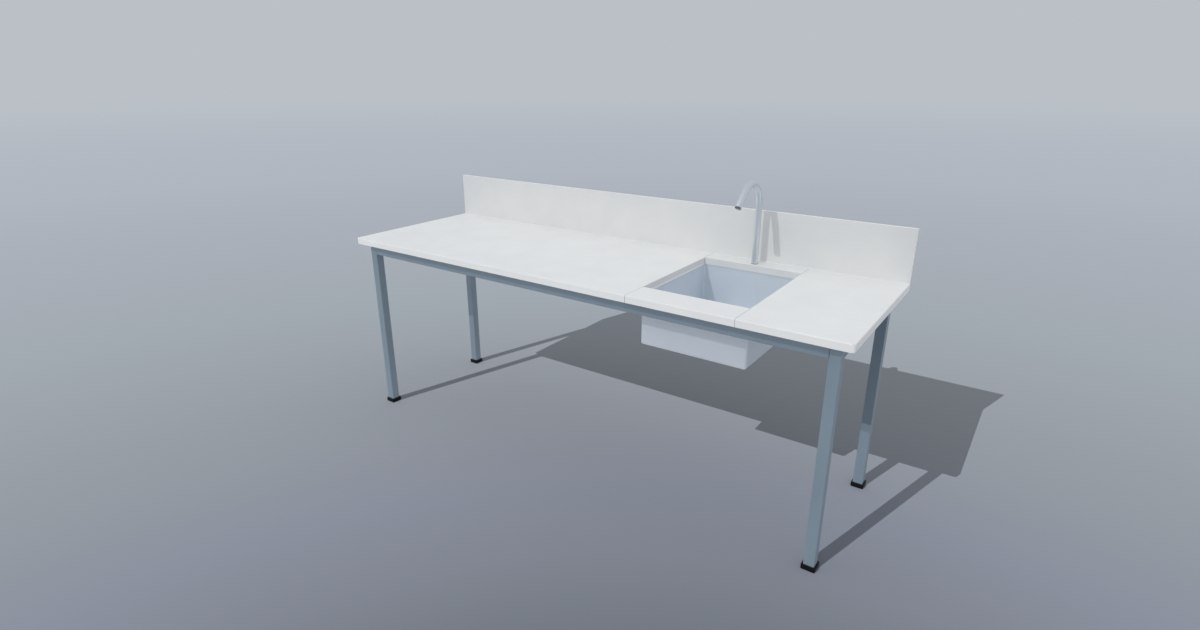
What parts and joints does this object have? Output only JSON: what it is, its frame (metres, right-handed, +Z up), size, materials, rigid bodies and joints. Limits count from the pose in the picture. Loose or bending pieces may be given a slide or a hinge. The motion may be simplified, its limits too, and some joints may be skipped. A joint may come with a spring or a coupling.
{
  "type": "laboratory bench",
  "caption": "Free-standing laboratory bench with white worktop, upstand, undermounted sink bowl, swivelling swan-neck outlet and a painted steel frame on levelling feet",
  "frame": {"origin": "on the floor under the middle of the bench", "axes": "+X along the bench to the end with the sink, +Y to the back with the upstand, +Z up"},
  "size_m": [2.4, 0.75, 1.2592],
  "materials": {
    "white_slab": "white solid worktop slab, satin",
    "frame_paint": "blue-grey powder coat on steel tube",
    "stainless": "satin stainless sheet",
    "chrome": "satin chrome plate on brass tube",
    "brass": "bare machined brass",
    "zinc_steel": "zinc-plated steel",
    "black_plastic": "moulded black plastic",
    "black_rubber": "black rubber"
  },
  "bodies": {
    "bench": {"bedding_strip_front": "black_rubber", "bedding_strip_left": "black_rubber", "bedding_strip_middle": "black_rubber", "bedding_strip_right": "black_rubber", "cross_rail_middle": "frame_paint", "cross_rail_sink_left": "frame_paint", "cross_rail_sink_right": "frame_paint", "joint_plate_back_left": "zinc_steel", "joint_plate_back_right": "zinc_steel", "joint_plate_front_left": "zinc_steel", "joint_plate_front_right": "zinc_steel", "joint_screw_back_left_inner": "zinc_steel", "joint_screw_back_left_outer": "zinc_steel", "joint_screw_back_right_inner": "zinc_steel", "joint_screw_back_right_outer": "zinc_steel", "joint_screw_front_left_inner": "zinc_steel", "joint_screw_front_left_outer": "zinc_steel", "joint_screw_front_right_inner": "zinc_steel", "joint_screw_front_right_outer": "zinc_steel", "leg_back_left": "frame_paint", "leg_back_right": "frame_paint", "leg_front_left": "frame_paint", "leg_front_right": "frame_paint", "leg_plug_back_left": "black_plastic", "leg_plug_back_right": "black_plastic", "leg_plug_front_left": "black_plastic", "leg_plug_front_right": "black_plastic", "rail_back": "frame_paint", "rail_end_left": "frame_paint", "rail_end_right": "frame_paint", "rail_front": "frame_paint", "sink_back_strip": "white_slab", "sink_bowl": "stainless", "sink_front_strip": "white_slab", "tap_backnut": "brass", "tap_base": "chrome", "tap_deck_gasket": "black_rubber", "tap_o_ring_lower": "black_rubber", "tap_o_ring_upper": "black_rubber", "upstand": "white_slab", "waste_body": "black_plastic", "waste_gasket": "black_rubber", "waste_screw": "stainless", "waste_strainer": "stainless", "worktop_left": "white_slab", "worktop_right": "white_slab", "worktop_screw_back_left": "zinc_steel", "worktop_screw_back_right": "zinc_steel", "worktop_screw_front_left": "zinc_steel", "worktop_screw_front_right": "zinc_steel"},
    "tap_outlet": {"tap_spout": "chrome", "tap_stop_screw": "zinc_steel"},
    "foot_front_left": {"foot_pad_front_left": "black_plastic"},
    "stem_front_left": {"foot_stem_front_left": "zinc_steel"},
    "foot_front_right": {"foot_pad_front_right": "black_plastic"},
    "stem_front_right": {"foot_stem_front_right": "zinc_steel"},
    "foot_back_left": {"foot_pad_back_left": "black_plastic"},
    "stem_back_left": {"foot_stem_back_left": "zinc_steel"},
    "foot_back_right": {"foot_pad_back_right": "black_plastic"},
    "stem_back_right": {"foot_stem_back_right": "zinc_steel"}
  },
  "joints": [
    {"name": "outlet_swivel", "type": "hinge", "parent": "bench", "child": "tap_outlet", "pos_m": [0.591, 0.305, 0.9333], "axis": [0, 0, 1], "range_deg": [-90, 90]},
    {"name": "foot_slide_front_left", "type": "slide", "parent": "bench", "child": "foot_front_left", "axis": [0, 0, -1], "range_m": [0, 0.02]},
    {"name": "stem_turn_front_left", "type": "hinge", "parent": "foot_front_left", "child": "stem_front_left", "pos_m": [-1.135, -0.312, 0.0085], "axis": [0, 0, -1], "range_deg": [0, 4800]},
    {"name": "foot_slide_front_right", "type": "slide", "parent": "bench", "child": "foot_front_right", "axis": [0, 0, -1], "range_m": [0, 0.02]},
    {"name": "stem_turn_front_right", "type": "hinge", "parent": "foot_front_right", "child": "stem_front_right", "pos_m": [1.135, -0.312, 0.0085], "axis": [0, 0, -1], "range_deg": [0, 4800]},
    {"name": "foot_slide_back_left", "type": "slide", "parent": "bench", "child": "foot_back_left", "axis": [0, 0, -1], "range_m": [0, 0.02]},
    {"name": "stem_turn_back_left", "type": "hinge", "parent": "foot_back_left", "child": "stem_back_left", "pos_m": [-1.135, 0.309, 0.0085], "axis": [0, 0, -1], "range_deg": [0, 4800]},
    {"name": "foot_slide_back_right", "type": "slide", "parent": "bench", "child": "foot_back_right", "axis": [0, 0, -1], "range_m": [0, 0.02]},
    {"name": "stem_turn_back_right", "type": "hinge", "parent": "foot_back_right", "child": "stem_back_right", "pos_m": [1.135, 0.309, 0.0085], "axis": [0, 0, -1], "range_deg": [0, 4800]}
  ],
  "couplings": [
    {"joint": "foot_slide_front_left", "follows": "stem_turn_front_left", "m_per_rad": 0.00023873},
    {"joint": "foot_slide_front_right", "follows": "stem_turn_front_right", "m_per_rad": 0.00023873},
    {"joint": "foot_slide_back_left", "follows": "stem_turn_back_left", "m_per_rad": 0.00023873},
    {"joint": "foot_slide_back_right", "follows": "stem_turn_back_right", "m_per_rad": 0.00023873}
  ]
}
